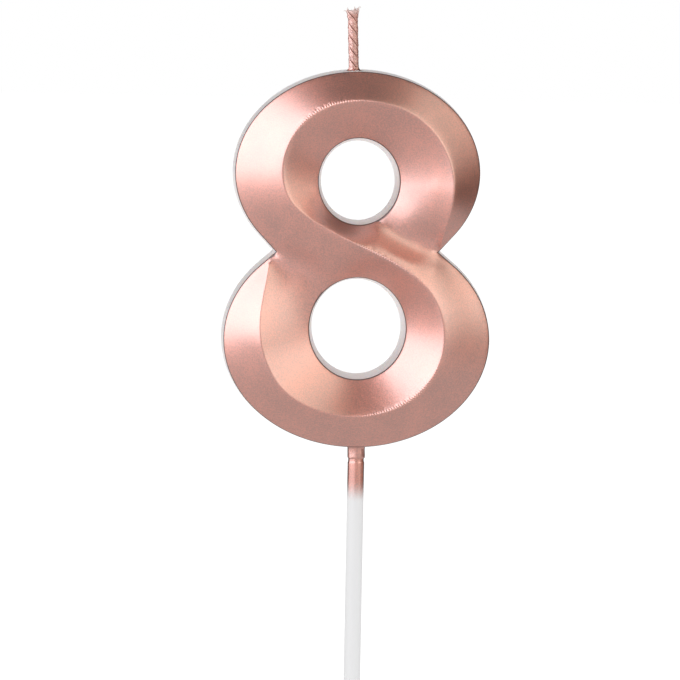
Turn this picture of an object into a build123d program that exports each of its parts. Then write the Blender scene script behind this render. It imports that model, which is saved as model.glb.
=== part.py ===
from build123d import *
import math
import os

# A birthday candle shaped as the numeral 8, cast in wax with a carved front, on a plastic stick.
# Millimetres, +Z up, the carved front faces -Y, +X is to the right seen from the front.
# The origin is on the stick's axis, at the top of its plain shank.

# ---- plan of the numeral, seen from the front ----
NUMERAL_X = -0.45  # the cast numeral sits a little left of its stick
NUMERAL_LEAN = 0.6  # degrees that it leans to the left
LOWER_CENTRE_Z = 22.9  # centre of the lower loop above the shank
LOOP_SPACING = 30.4  # centre of the upper loop above the lower loop's
UPPER_LOOP = (22.3, 18.4)  # half width and half height of a loop at the front edge
LOWER_LOOP = (24.3, 19.75)
UPPER_HOLE = (7.4, 7.9)
LOWER_HOLE = (8.85, 9.35)
UPPER_HOLE_AT = (0.25, 28.9)  # from the lower loop's centre, as is every plan point below
LOWER_HOLE_AT = (0.15, 2.05)
NOTCH = (14.8, 16.05)  # right corner between the loops; the left one mirrors it

# ---- thickness ----
WALL = 6.0  # straight side wall, from the flat back to the front edge
RELIEF = 5.0  # height of the carved ridge above the front edge
BACK_Y = WALL / 2
EDGE_Y = -WALL / 2
OUTLINE_DRAFT = 0.4  # the outline grows this much towards the back
NOTCH_DRAFT = 0.58  # and its two corners move out this much
HOLE_DRAFT = 0.65  # the holes narrow this much towards the back

# ---- the carved ridge: one S-shaped line from the right notch to the left notch ----
RIDGE_LINE = [
    (15.9, 20.6),
    (17.15, 27.8),
    (15.6, 34.6),
    (11.1, 40.2),
    (0.85, 43.65),
    (-6.25, 42.3),
    (-11.65, 37.7),
    (-13.8, 30.9),
    (-12.3, 25.6),
    (-8.3, 22.1),
    (1.2, 17.1),
    (7.55, 13.7),
    (13.0, 9.05),
    (15.55, 2.35),
    (14.5, -4.7),
    (10.1, -10.25),
    (0.05, -13.55),
    (-7.1, -12.5),
    (-13.35, -8.9),
    (-17.0, -2.7),
    (-17.8, 4.5),
    (-16.55, 11.4),
]
RIGHT_RISE = 13.0  # length over which the ridge rises out of the right notch
LEFT_FALL = 16.0  # and falls into the left one
LEFT_VALLEY = 133.0  # degrees round the lower hole where the valley from the left notch ends
RIGHT_VALLEY = -62.0  # and round the upper hole, for the right notch
CROSSING = (0.38, 0.62)  # shares of the ridge between which it crosses from loop to loop
RULING_STEP = 30.0  # degrees between the rulings that shape the slopes
RULING_REACH = 0.2  # the most of the ridge that one step between rulings can pass
RIDGE_SAMPLES = 400  # plan points where the ridge is searched for the nearest one
CREST_STEPS = 4  # spans in each stretch of the ridge between two rulings
NUDGE = 1e-4  # a tiny share of the ridge, to find the way it runs at a point

# ---- stick ----
SHANK_D = 3.0
SHANK_LENGTH = 51.0
TIP_LENGTH = 4.0
TIP_D = 1.2
TIP_ROUNDING = 0.4
SHOULDER_HEIGHT = 0.3  # cone from the shank's top down to the tang's diameter
TANG_D = 2.85  # the tang tapers a little from the shoulder up
TANG_TOP_D = 2.6
TANG_TOP = 12.7  # most of the tang is cast into the wax
GROOVE_D = 2.3  # rings that lock the tang in the wax
GROOVE_WIDTH = 0.8
GROOVE_PITCH = 2.4
GROOVES = 3
LOWEST_GROOVE_Z = 4.9
NECK_D = 3.2  # sleeve of wax round the tang under the numeral
NECK_BOTTOM_Z = 0.75
NECK_TOP_Z = 6.0  # inside the numeral

# ---- wick: three plies twisted together ----
WICK_X = -0.5  # from the numeral's own axis
WICK_LEAN = 1.5  # degrees to the left of the numeral's axis
WICK_BOTTOM = 38.9  # heights from the lower loop's centre
WICK_TOP = 60.3
PLIES = 3
PLY_D = 0.84
PLY_OFFSET = 0.5  # ply's centre line from the wick's
TWIST_PITCH = 6.4
WICK_CHANNEL_D = 1.86
CHANNEL_EXTRA = 0.3  # the channel reaches this far under the plies


def plane_at(y):
    """The plan's plane at one depth: its origin is the lower loop's centre, and it faces the front."""
    lean = math.radians(NUMERAL_LEAN)
    across = (math.cos(lean), 0, math.sin(lean))
    return Plane(origin=(NUMERAL_X, y, LOWER_CENTRE_Z), x_dir=across, z_dir=(0, -1, 0))


def at(x, z, y):
    return plane_at(y).from_local_coords((x, z))


class Oval:
    """An ellipse of the plan. Its two radii change by draft from the front edge to the back."""

    def __init__(self, centre, radii, draft):
        self.centre, self.radii, self.draft = centre, radii, draft

    def size(self, back=False):
        grow = self.draft if back else 0.0
        return self.radii[0] + grow, self.radii[1] + grow

    def point(self, degrees, back=False):
        turn = math.radians(degrees)
        a, b = self.size(back)
        return self.centre[0] + a * math.cos(turn), self.centre[1] + b * math.sin(turn)

    def touch(self, point, side, back=False):
        """The angle where a straight line from an outside point touches the ellipse."""
        a, b = self.size(back)
        u = (point[0] - self.centre[0]) / a
        v = (point[1] - self.centre[1]) / b
        return math.degrees(math.atan2(v, u) + side * math.acos(1 / math.hypot(u, v)))

    def arc(self, start, end, back=False):
        a, b = self.size(back)
        base = plane_at(BACK_Y if back else EDGE_Y)
        plane = Plane(base.from_local_coords(self.centre), x_dir=base.x_dir, z_dir=base.z_dir)
        way = AngularDirection.COUNTER_CLOCKWISE if end > start else AngularDirection.CLOCKWISE
        return Edge.make_ellipse(a, b, plane, start, end, way)


class Curved:
    """A stretch of an oval between two angles, with the angles it has at the back."""

    def __init__(self, oval, front, back):
        self.oval, self.front, self.back = oval, front, back

    def turn(self):
        return abs(self.front[1] - self.front[0])

    def point(self, share, back=False):
        first, last = self.back if back else self.front
        return self.oval.point(first + (last - first) * share, back)

    def edge(self, start, end, back=False):
        first, last = self.back if back else self.front
        return self.oval.arc(first + (last - first) * start, first + (last - first) * end, back)


class Straight:
    """A straight stretch between two plan points. With no back, it is a valley inside the front."""

    def __init__(self, front, back=None):
        self.front, self.back = front, back

    def turn(self):
        return 0.0

    def point(self, share, back=False):
        (x, z), (u, v) = self.back if back else self.front
        return x + (u - x) * share, z + (v - z) * share

    def edge(self, start, end, back=False):
        y = BACK_Y if back else EDGE_Y
        return Edge.make_line(at(*self.point(start, back), y), at(*self.point(end, back), y))


UPPER = Oval((0, LOOP_SPACING), UPPER_LOOP, OUTLINE_DRAFT)
LOWER = Oval((0, 0), LOWER_LOOP, OUTLINE_DRAFT)
UPPER_EYE = Oval(UPPER_HOLE_AT, UPPER_HOLE, -HOLE_DRAFT)
LOWER_EYE = Oval(LOWER_HOLE_AT, LOWER_HOLE, -HOLE_DRAFT)
HOLES = (UPPER_EYE, LOWER_EYE)


def notch(side, back=False):
    return side * (NOTCH[0] + (NOTCH_DRAFT if back else 0.0)), NOTCH[1]


# ---- the ridge in space ----
RIDGE_PLAN = Edge.make_spline([at(x, z, EDGE_Y) for x, z in [notch(1), *RIDGE_LINE, notch(-1)]])
RIDGE_POINTS = [
    plane_at(EDGE_Y).to_local_coords(RIDGE_PLAN.position_at(i / RIDGE_SAMPLES))
    for i in range(RIDGE_SAMPLES + 1)
]


def ridge_point(share):
    """The ridge's point at a share of its plan length, raised above the front edge."""
    length = RIDGE_PLAN.length
    rise = min(1.0, share * length / RIGHT_RISE, (1 - share) * length / LEFT_FALL)
    height = RELIEF * math.sin(math.pi / 2 * rise)
    return RIDGE_PLAN.position_at(share) + Vector(0, -height, 0)


def ridge_way(share):
    """The way the ridge runs at a share of its length."""
    before, after = max(0.0, share - NUDGE), min(1.0, share + NUDGE)
    return ridge_point(after) - ridge_point(before)


def ridge_edge(start, end):
    step = (end - start) / CREST_STEPS
    points = [ridge_point(start + step * i) for i in range(CREST_STEPS + 1)]
    return Edge.make_spline(points, tangents=[ridge_way(start), ridge_way(end)])


def opposite(point, low, high):
    """The share of the ridge that is nearest to a plan point, between two shares."""
    first, last = round(low * RIDGE_SAMPLES), round(high * RIDGE_SAMPLES)
    gap = lambda i: math.hypot(RIDGE_POINTS[i].X - point[0], RIDGE_POINTS[i].Y - point[1])
    return min(range(first, last + 1), key=gap) / RIDGE_SAMPLES


# ---- the front's two slopes: one above the ridge's crossing, one below it ----
def outline_stretches(oval, side):
    """One loop's outline: a tangent line out of a notch, the arc, and a tangent line into the other."""
    front = oval.touch(notch(1), side)
    back = oval.touch(notch(1, True), side, True)
    half_turn = 180 if side > 0 else -180
    arc = Curved(oval, (front, half_turn - front), (back, half_turn - back))
    first = arc.point(0), arc.point(1)
    last = arc.point(0, True), arc.point(1, True)
    return [
        Straight((notch(1), first[0]), (notch(1, True), last[0])),
        arc,
        Straight((first[1], notch(-1)), (last[1], notch(-1, True))),
    ]


def upper_side():
    """The slopes between the upper outline, the left notch's valley and the lower hole."""
    hole = Curved(LOWER_EYE, (LEFT_VALLEY, LEFT_VALLEY - 360), (LEFT_VALLEY, LEFT_VALLEY - 360))
    valley = Straight((notch(-1), hole.point(0)))
    return [*outline_stretches(UPPER, 1), valley, hole]


def lower_side():
    """The slopes between the upper hole, the right notch's valley and the lower outline."""
    hole = Curved(UPPER_EYE, (RIGHT_VALLEY, RIGHT_VALLEY + 360), (RIGHT_VALLEY, RIGHT_VALLEY + 360))
    valley = Straight((hole.point(0), notch(1)))
    return [hole, valley, *outline_stretches(LOWER, -1)]


def valley_shares(stretches):
    """The stretch of the ridge that faces a side's valley."""
    valley = next(s for s in stretches if s.back is None)
    return tuple(opposite(valley.point(share), *CROSSING) for share in (0, 1))


def anchors(stretches, valleys):
    """Rows of (own share, ridge share) for each stretch, where straight rulings meet the ridge."""
    rows = []
    reached = 0.0
    for stretch in stretches:
        steps = max(1, round(stretch.turn() / RULING_STEP))
        row = [(0.0, reached)]
        for i in range(1, steps + 1):
            last = stretch is stretches[-1] and i == steps
            low = row[-1][1]
            share = 1.0 if last else opposite(stretch.point(i / steps), low, min(1.0, low + RULING_REACH))
            crowded = share <= low or any(start < share < end for start, end in valleys)
            if i == steps or not crowded:
                row.append((i / steps, share))
        reached = row[-1][1]
        rows.append((stretch, row))
    return rows


def pieces(rows, stations):
    """(stretch, its own two shares, the ridge's two shares) between neighbouring stations."""
    for stretch, row in rows:
        for (u, low), (v, high) in zip(row, row[1:]):
            cuts = [low, *(s for s in stations if low < s < high), high]
            own = [u + (v - u) * (cut - low) / (high - low) for cut in cuts]
            for i in range(len(cuts) - 1):
                yield stretch, own[i : i + 2], cuts[i : i + 2]


def numeral_faces():
    sides = [upper_side(), lower_side()]
    valleys = [valley_shares(side) for side in sides]
    rows = [anchors(side, valleys) for side in sides]
    stations = sorted({share for side in rows for _, row in side for _, share in row})
    crest = {s: ridge_edge(*s) for s in zip(stations, stations[1:])}
    faces, backs = [], {}
    for side in rows:
        for stretch, own, shares in pieces(side, stations):
            rim = stretch.edge(*own)
            faces.append(Face.make_surface_from_curves(rim, crest[tuple(shares)]))
            if stretch.back is None:
                continue
            back = stretch.edge(*own, back=True)
            faces.append(Face.make_surface_from_curves(rim, back))
            owner = stretch.oval if isinstance(stretch, Curved) and stretch.oval in HOLES else None
            backs.setdefault(owner, []).append(back)
    holes = [Wire(backs[hole]) for hole in HOLES]
    faces.append(Face(Wire(backs[None]), holes))
    return faces


def make_numeral():
    return Solid(Shell(numeral_faces()))


# ---- stick ----
TOP = (Align.CENTER, Align.CENTER, Align.MAX)
BOTTOM = (Align.CENTER, Align.CENTER, Align.MIN)


def make_stick():
    shank = Cylinder(SHANK_D / 2, SHANK_LENGTH, align=TOP)
    shoulder = Cone(SHANK_D / 2, TANG_D / 2, SHOULDER_HEIGHT, align=BOTTOM)
    tip = Pos(0, 0, -SHANK_LENGTH) * Cone(TIP_D / 2, SHANK_D / 2, TIP_LENGTH, align=TOP)
    tip = fillet(tip.edges().sort_by(Axis.Z)[0], TIP_ROUNDING)
    tang_length = TANG_TOP - SHOULDER_HEIGHT
    tang = Pos(0, 0, SHOULDER_HEIGHT) * Cone(TANG_D / 2, TANG_TOP_D / 2, tang_length, align=BOTTOM)
    stick = shank + tip + shoulder + tang
    cutter = Cylinder(TANG_D, GROOVE_WIDTH, align=BOTTOM)
    cutter -= Cylinder(GROOVE_D / 2, GROOVE_WIDTH, align=BOTTOM)
    for i in range(GROOVES):
        stick -= Pos(0, 0, LOWEST_GROOVE_Z + i * GROOVE_PITCH) * cutter
    return stick


# ---- wick ----
def wick_axis():
    base = plane_at(0).from_local_coords((WICK_X, WICK_BOTTOM))
    return Location(base, (0, -NUMERAL_LEAN - WICK_LEAN, 0))


def make_ply(number):
    height = WICK_TOP - WICK_BOTTOM
    path = Helix(TWIST_PITCH, height, PLY_OFFSET, lefthand=True)
    section = Plane(path @ 0, z_dir=path % 0) * Circle(PLY_D / 2)
    ply = sweep(section, path, is_frenet=True)
    return wick_axis() * Rot(0, 0, 360 / PLIES * number) * ply


# ---- wax body ----
def make_wax_body(stick):
    neck = Pos(0, 0, NECK_BOTTOM_Z) * Cylinder(NECK_D / 2, NECK_TOP_Z - NECK_BOTTOM_Z, align=BOTTOM)
    channel = Cylinder(WICK_CHANNEL_D / 2, WICK_TOP - WICK_BOTTOM, align=BOTTOM)
    channel = wick_axis() * Pos(0, 0, -CHANNEL_EXTRA) * channel
    return make_numeral() + neck - stick - channel


def main():
    os.makedirs("parts", exist_ok=True)
    stick = make_stick()
    nodes = {"stick": stick, "wax_body": make_wax_body(stick)}
    for i in range(PLIES):
        nodes[f"wick_ply_{i + 1}"] = make_ply(i)
    for name, shape in nodes.items():
        export_step(shape, f"parts/{name}.step")


main()
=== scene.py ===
import math

import bmesh
import bpy
import numpy as np
from mathutils import Matrix, Vector, noise
from mathutils.geometry import delaunay_2d_cdt
from mathutils.kdtree import KDTree


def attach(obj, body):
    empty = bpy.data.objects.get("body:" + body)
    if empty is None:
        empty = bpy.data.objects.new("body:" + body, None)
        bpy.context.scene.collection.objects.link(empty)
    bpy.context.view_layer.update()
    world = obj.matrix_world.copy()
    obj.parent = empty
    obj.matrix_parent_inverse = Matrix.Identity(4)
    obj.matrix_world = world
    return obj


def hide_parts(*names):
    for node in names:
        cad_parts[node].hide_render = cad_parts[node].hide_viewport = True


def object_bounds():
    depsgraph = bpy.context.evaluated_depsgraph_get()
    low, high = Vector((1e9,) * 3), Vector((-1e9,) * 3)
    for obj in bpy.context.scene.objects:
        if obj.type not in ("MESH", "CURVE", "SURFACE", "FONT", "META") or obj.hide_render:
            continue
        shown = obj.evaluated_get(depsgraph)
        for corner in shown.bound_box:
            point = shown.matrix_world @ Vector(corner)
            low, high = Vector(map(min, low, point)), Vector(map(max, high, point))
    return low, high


# A birthday candle shaped as the numeral 8: sprayed wax body, twisted wick, plastic stick.
# Shapes are worked out in millimetres in the CAD's frame and turned into metres as they become meshes.

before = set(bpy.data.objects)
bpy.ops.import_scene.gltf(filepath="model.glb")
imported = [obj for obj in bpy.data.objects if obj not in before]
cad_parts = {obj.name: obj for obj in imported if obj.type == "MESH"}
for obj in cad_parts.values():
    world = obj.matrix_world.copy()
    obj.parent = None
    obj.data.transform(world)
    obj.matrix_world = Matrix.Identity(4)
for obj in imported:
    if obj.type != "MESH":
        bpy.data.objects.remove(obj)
cad_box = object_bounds()
MM = 0.001

# ---- plan of the numeral, seen from the front, from the lower loop's centre ----
NUMERAL_AT = (-0.45, 22.9)  # the lower loop's centre in the frame: x, z
NUMERAL_LEAN = math.radians(0.6)
UPPER_CENTRE = (0.0, 30.4)
UPPER_LOOP = (22.3, 18.4)  # half width and half height at the front edge
LOWER_LOOP = (24.3, 19.75)
UPPER_HOLE_AT, UPPER_HOLE = (0.25, 28.9), (7.4, 7.9)
LOWER_HOLE_AT, LOWER_HOLE = (0.15, 2.05), (8.85, 9.35)
NOTCH = (14.8, 16.05)
RIDGE_LINE = [
    (15.9, 20.6),
    (17.15, 27.8),
    (15.6, 34.6),
    (11.1, 40.2),
    (0.85, 43.65),
    (-6.25, 42.3),
    (-11.65, 37.7),
    (-13.8, 30.9),
    (-12.3, 25.6),
    (-8.3, 22.1),
    (1.2, 17.1),
    (7.55, 13.7),
    (13.0, 9.05),
    (15.55, 2.35),
    (14.5, -4.7),
    (10.1, -10.25),
    (0.05, -13.55),
    (-7.1, -12.5),
    (-13.35, -8.9),
    (-17.0, -2.7),
    (-17.8, 4.5),
    (-16.55, 11.4),
]
RIDGE_END = (-15.95, 14.95)  # on the lower loop's outline, a little under the left notch
# A valley runs from a notch to a hole, where one stroke of the numeral passes under the other.
LEFT_VALLEY = [(-14.8, 16.05), (-12.4, 15.1), (-9.8, 13.9), (-7.7, 11.9), (-6.3, 9.1)]
RIGHT_VALLEY = [(14.8, 16.05), (12.0, 16.2), (9.0, 17.4), (6.0, 19.1), (3.4, 21.65)]
VALLEY_LIFT = 0.4  # a valley's middle stands this much above its ends
VALLEY_WIDTH, VALLEY_FADE = 2.56, 1.6  # a valley is rounded out to this width, fading over the last part
VALLEY_BLEND, VALLEY_ROUNDS = 0.8, 20  # how much it is evened out each time, and how often
EDGE_CLEARANCE = 0.25  # but not this near to the ridge or an edge
OVERLAP_BULGE = 0.7  # how much the stroke on top bulges beside a valley
CREST_SHARPNESS = 3.0  # how sharply a slope turns where it leaves the hole for the valley
# The mould's cutter left teeth on some stretches of the ridge, centred at these lengths along it.
TOOTH_PLACES = (45.0, 84.0, 118.0)
TOOTH_REACH, TOOTH_PITCH, TOOTH_DEPTH, TOOTH_WIDTH = 8.0, 0.48, 0.16, 0.3
RIDGE_ROUNDING, RIDGE_WEAR = 0.2, 0.75  # how far from its line the crest is worn round, and how much

# ---- thickness ----
EDGE_Y, BACK_Y = -3.0, 3.0
RELIEF = 5.0
RIGHT_RISE, LEFT_FALL = 13.0, 16.0  # the ridge rises out of one notch and falls into the other
OUTLINE_DRAFT, NOTCH_DRAFT, HOLE_DRAFT = 0.4, 0.58, -0.65  # change of size towards the back
RIM_RADIUS = 0.25  # rounding of the front edge
BACK_RADIUS = 0.45  # and of the poured back's edge
BACK_DISH, DISH_REACH = 0.12, 4.0  # how far the back sinks in as the wax sets, and over what distance
DISH_UNEVENNESS, DISH_LUMPS, DISH_SEED = 0.4, 5.0, 3

# ---- how finely the wax is meshed ----
ARC_STEPS = (230, 260)  # points round the upper and the lower loop's outline
LINE_STEPS = 8  # points on each straight out of a notch
HOLE_STEPS = (118, 140)
RIM_INSETS = (0.03, 0.09, 0.17, 0.26)
RIDGE_INSETS = (0.07, 0.16, 0.32)
BACK_INSETS = (0.06, 0.2, 0.45, 0.75, 1.0)  # shares of the back edge's rounding
RIDGE_SPACING = 0.12
RIDGE_STOPS = 0.3, 1.2  # how far from its ends the ridge's line and the lines beside it stop
FRONT_SPACING, BACK_SPACING = 0.46, 0.9
CROWDING = 0.6  # no point of the grid is nearer to a line than this share of its spacing
SIDE_MARGIN = 0.3  # the outline is moved out by this much to tell which side of the ridge a point is on
WALL_ROWS = 12

# ---- wick and stick ----
WICK_X, WICK_LEAN = -0.5, math.radians(1.5)
WICK_BOTTOM, WICK_TOP = 38.9, 60.3
PLIES = 3
PLY_RADIUS, PLY_OFFSET, TWIST_PITCH = 0.42, 0.5, 6.4
SHANK_RADIUS, SHANK_LENGTH = 1.5, 51.0
TIP_LENGTH, TIP_RADIUS = 4.0, 0.6
SHOULDER_HEIGHT, TANG_RADIUS, TANG_TOP_RADIUS, TANG_TOP = 0.3, 1.425, 1.3, 12.7
GROOVE_RADIUS, GROOVE_WIDTH, GROOVE_PITCH, LOWEST_GROOVE = 1.15, 0.8, 2.4, 4.9
GROOVES = 3
NECK_RADIUS, NECK_BOTTOM, NECK_TOP = 1.6, 0.75, 6.0
NECK_SPREAD = 0.3  # the neck's lacquer reaches this far past its radius, towards the numeral
FOOT_RADIUS = 1.35  # the steep part of the collar of wax round the wick
NECK_LUMPS, FOOT_LUMPS = (0.9, 0.07, 4.0), (0.7, 0.16, 9.0)  # size, depth and seed
SEAM_HEIGHT, SEAM_WIDTH = 0.022, 0.06  # the stick's mould line, its width as a share of the radius
SHANK_UNEVENNESS, SHANK_LUMPS = 0.008, 9.0
STICK_TURNS, NECK_TURNS, SOCKET_TURNS, FOOT_TURNS, CHANNEL_TURNS = 120, 72, 48, 48, 32
SOCKET_FIT = 0.02  # how much tighter the wax is cast than what it holds
CHANNEL_EXTRA = 0.3  # how far the wick's channel goes on below the wick
PLY_STEP, PLY_SIDES, PLY_SEED = 0.12, 24, 41
PLY_GAP, PLY_SQUARENESS = 0.02, 7  # half the gap between plies, and how sharp their corners are
NEARLY_NONE = 0.01  # keeps a ply's flat sides from lying infinitely far away
HOLLOW_RADIUS = 0.75  # of the opened end
STRANDS, STRAND_PITCH = 6, 3.4  # lobes of each ply, twisted against the wick's own twist
# How far lumps, strands and grains stand out, as shares of a ply's size.
LUMP_DEPTH, FRAYED_LUMP_DEPTH, STRAND_DEPTH, GRAIN_DEPTH = 0.2, 0.7, 0.05, 0.2
PLY_FIT = 0.97  # the plies' size as a share of the third of a circle that each has
FRAY_LENGTH, FRAY_SPREAD = 2.2, 0.9  # the cut end opens out over this length, by this much
LOOSE_FIBRES, FIBRE_POINTS, FIBRE_SIDES = 9, 7, 5
FIBRE_TAPER = 0.09  # how much thinner a fibre gets from one point to the next


# ======== camera, floor and light ========
CAMERA_TARGET = (-3.495, -3.0, 22.85)
CAMERA_DISTANCE = 600.0
CAMERA_AZIMUTH, CAMERA_ELEVATION, CAMERA_ROLL = map(math.radians, (2.90, 5.35, 1.05))
CAMERA_LENS = 174.07
# Lights, the card and the floor are placed and sized in metres.
LIGHTS_AIM = Vector((0.0, 0.0, 0.035))
LIGHTS_DISTANCE = 0.9
WALLS, FLOOR = 0.105, 0.5  # how bright the room and the floor are in reflections; both look white
MATT_WALLS, MATT_FLOOR = 0.74, 1.15  # and how much light they give to matt surfaces
FLOOR_SIZE, SEEN_FLOOR = 12.0, 1.05  # the floor's sides in metres, and how bright it looks itself
CARD = 100, -22, 0.25, 0.31  # azimuth, elevation, distance and size
# Each softbox: azimuth, elevation, size, brightness in reflections and on matt surfaces, and colour.
SOFTBOXES = {
    "left_softbox": (-64, 17, (1.85, 1.36), 2.72, 0.55, (0.955, 0.945, 1.0)),
    "right_softbox": (56, 30.5, (0.82, 1.12), 1.4, 0.25, (1.0, 0.97, 0.84)),
    "front_fill": (28, 16, (1.35, 0.36), 0.6, 0.2, (1.0, 1.0, 1.0)),
    "low_left": (-58, -23, (0.75, 0.56), 0.9, 0.6, (1.0, 1.0, 1.0)),
}


def add_camera():
    """A long lens a little above and beside the numeral's front."""
    a, e = CAMERA_AZIMUTH, CAMERA_ELEVATION
    look = Vector((math.sin(a) * math.cos(e), math.cos(a) * math.cos(e), -math.sin(e)))
    level = Vector((math.cos(a), -math.sin(a), 0))
    above = level.cross(look)
    right = level * math.cos(CAMERA_ROLL) + above * math.sin(CAMERA_ROLL)
    up = above * math.cos(CAMERA_ROLL) - level * math.sin(CAMERA_ROLL)
    data = bpy.data.cameras.new("camera")
    data.lens = CAMERA_LENS
    data.clip_start, data.clip_end = 0.01, 20.0
    camera = bpy.data.objects.new("camera", data)
    place = Matrix((right, up, -look)).transposed().to_4x4()
    place.translation = (Vector(CAMERA_TARGET) - look * CAMERA_DISTANCE) * MM
    camera.matrix_world = place
    bpy.context.scene.collection.objects.link(camera)
    bpy.context.scene.camera = camera


def around(azimuth, elevation, distance):
    """A place round the candle. Azimuth 0 is straight in front, and it grows to the right."""
    a, e = math.radians(azimuth), math.radians(elevation)
    away = Vector((math.sin(a) * math.cos(e), -math.cos(a) * math.cos(e), math.sin(e)))
    return LIGHTS_AIM + away * distance


def add_softbox(name, azimuth, elevation, size, gloss, matt, colour):
    """A rectangular light aimed at the numeral. It is as bright as gloss says in reflections, and
    as matt says on matt surfaces."""
    for kind, radiance in (("gloss", gloss), ("matt", matt)):
        data = bpy.data.lights.new(f"{name}_{kind}", "AREA")
        data.shape = "RECTANGLE"
        data.size, data.size_y = size
        data.energy = radiance * math.pi * size[0] * size[1]
        data.color = colour
        box = bpy.data.objects.new(data.name, data)
        box.location = around(azimuth, elevation, LIGHTS_DISTANCE)
        box.rotation_euler = (LIGHTS_AIM - box.location).to_track_quat("-Z", "Y").to_euler()
        box.visible_camera = False
        box.visible_diffuse = kind == "matt"
        box.visible_glossy = kind == "gloss"
        bpy.context.scene.collection.objects.link(box)


def sheet_mesh(name, half):
    """One flat square with sides twice as long as half."""
    bm = bmesh.new()
    bmesh.ops.create_grid(bm, x_segments=1, y_segments=1, size=half)
    mesh = bpy.data.meshes.new(name)
    bm.to_mesh(mesh)
    bm.free()
    return mesh


def add_dark_card():
    """A black card off to the right, out of the camera's sight, that the steep right slopes reflect."""
    azimuth, elevation, distance, size = CARD
    mesh = sheet_mesh("dark_card", size / 2)
    card = bpy.data.objects.new("dark_card", mesh)
    card.location = around(azimuth, elevation, distance)
    card.rotation_euler = (LIGHTS_AIM - card.location).to_track_quat("Z", "Y").to_euler()
    bpy.context.scene.collection.objects.link(card)
    material, _, shader = new_material("black_felt")
    shader.inputs["Base Color"].default_value = (0.01, 0.01, 0.01, 1)
    shader.inputs["Roughness"].default_value = 1.0
    mesh.materials.append(material)
    card.visible_camera = False
    card.visible_diffuse = False
    card.visible_shadow = False


def node(tree, kind, inputs=None, **settings):
    """A new shader node with its settings and inputs. An input is a value or another node's socket."""
    made = tree.nodes.new(kind)
    for name, value in settings.items():
        setattr(made, name, value)
    for name, value in (inputs or {}).items():
        if isinstance(value, bpy.types.NodeSocket):
            tree.links.new(value, made.inputs[name])
        else:
            made.inputs[name].default_value = value
    return made


def new_material(name):
    """An empty material, its node tree and its shader."""
    material = bpy.data.materials.new(name)
    material.use_nodes = True
    tree = material.node_tree
    tree.nodes.clear()
    output = tree.nodes.new("ShaderNodeOutputMaterial")
    shader = tree.nodes.new("ShaderNodeBsdfPrincipled")
    tree.links.new(shader.outputs[0], output.inputs["Surface"])
    return material, tree, shader


def add_floor():
    """White paper under the candle, which looks white and gives the light and reflections named above."""
    mesh = sheet_mesh("floor", FLOOR_SIZE / 2)
    floor = bpy.data.objects.new("floor", mesh)
    floor.location.z = cad_box[0].z
    bpy.context.scene.collection.objects.link(floor)
    material, tree, shader = new_material("floor_paper")
    rays = node(tree, "ShaderNodeLightPath").outputs
    dim = calc(tree, "MULTIPLY_ADD", rays["Is Diffuse Ray"], MATT_FLOOR - FLOOR, FLOOR)
    shader.inputs["Base Color"].default_value = (0.05, 0.05, 0.05, 1)
    shader.inputs["Roughness"].default_value = 0.9
    shader.inputs["Emission Color"].default_value = (1, 1, 1, 1)
    seen = calc(tree, "MULTIPLY", rays["Is Camera Ray"], SEEN_FLOOR)
    strength = calc(tree, "MAXIMUM", seen, dim)
    tree.links.new(strength, shader.inputs["Emission Strength"])
    mesh.materials.append(material)


def add_world():
    """A studio that is white to the camera, and dimmer in the light and the reflections it gives."""
    world = bpy.data.worlds.new("studio")
    world.use_nodes = True
    tree = world.node_tree
    tree.nodes.clear()
    rays = node(tree, "ShaderNodeLightPath").outputs
    dim = calc(tree, "MULTIPLY_ADD", rays["Is Diffuse Ray"], MATT_WALLS - WALLS, WALLS)
    strength = calc(tree, "MAXIMUM", rays["Is Camera Ray"], dim)
    walls = node(tree, "ShaderNodeBackground", {"Color": (1, 1, 1, 1), "Strength": strength})
    output = tree.nodes.new("ShaderNodeOutputWorld")
    tree.links.new(walls.outputs[0], output.inputs["Surface"])
    bpy.context.scene.world = world


def set_studio():
    """Camera, floor, walls and lights."""
    add_camera()
    add_floor()
    add_world()
    for name, values in SOFTBOXES.items():
        add_softbox(name, *values)
    add_dark_card()
    bpy.context.scene.view_settings.view_transform = "Standard"


# ======== plan curves ========
def touch(centre, radii, point, side):
    """The angle where a straight line from an outside point touches an ellipse."""
    u = (point[0] - centre[0]) / radii[0]
    v = (point[1] - centre[1]) / radii[1]
    return math.atan2(v, u) + side * math.acos(1 / math.hypot(u, v))


def ellipse(centre, radii, first, last, steps):
    """Points along an ellipse from the first angle up to the last, which is left out."""
    turn = np.linspace(first, last, steps, endpoint=False)
    return np.stack([centre[0] + radii[0] * np.cos(turn), centre[1] + radii[1] * np.sin(turn)], 1)


def straight(start, end, steps):
    """Points along a straight line, without its end."""
    share = np.linspace(0, 1, steps, endpoint=False)[:, None]
    return (1 - share) * start + share * end


def outline(back=0.0):
    """The numeral's outline, counter-clockwise from the right notch. Back is 0 at the front edge."""
    right = np.array((NOTCH[0] + NOTCH_DRAFT * back, NOTCH[1]))
    left = right * (-1, 1)
    upper = np.add(UPPER_LOOP, OUTLINE_DRAFT * back)
    lower = np.add(LOWER_LOOP, OUTLINE_DRAFT * back)
    high = touch(UPPER_CENTRE, upper, right, 1)
    low = touch((0, 0), lower, right, -1)
    top = ellipse(UPPER_CENTRE, upper, high, math.pi - high, ARC_STEPS[0])
    bottom = ellipse((0, 0), lower, math.pi - low, 2 * math.pi + low, ARC_STEPS[1])
    rise = straight(right, top[0], LINE_STEPS)
    rejoin = straight(left, bottom[0], LINE_STEPS)
    fall = (rejoin * (-1, 1))[::-1]
    into_left = (rise * (-1, 1))[::-1]
    loop = [rise, top, into_left[:-1], rejoin, bottom, fall[:-1]]
    return np.concatenate(loop)


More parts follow.
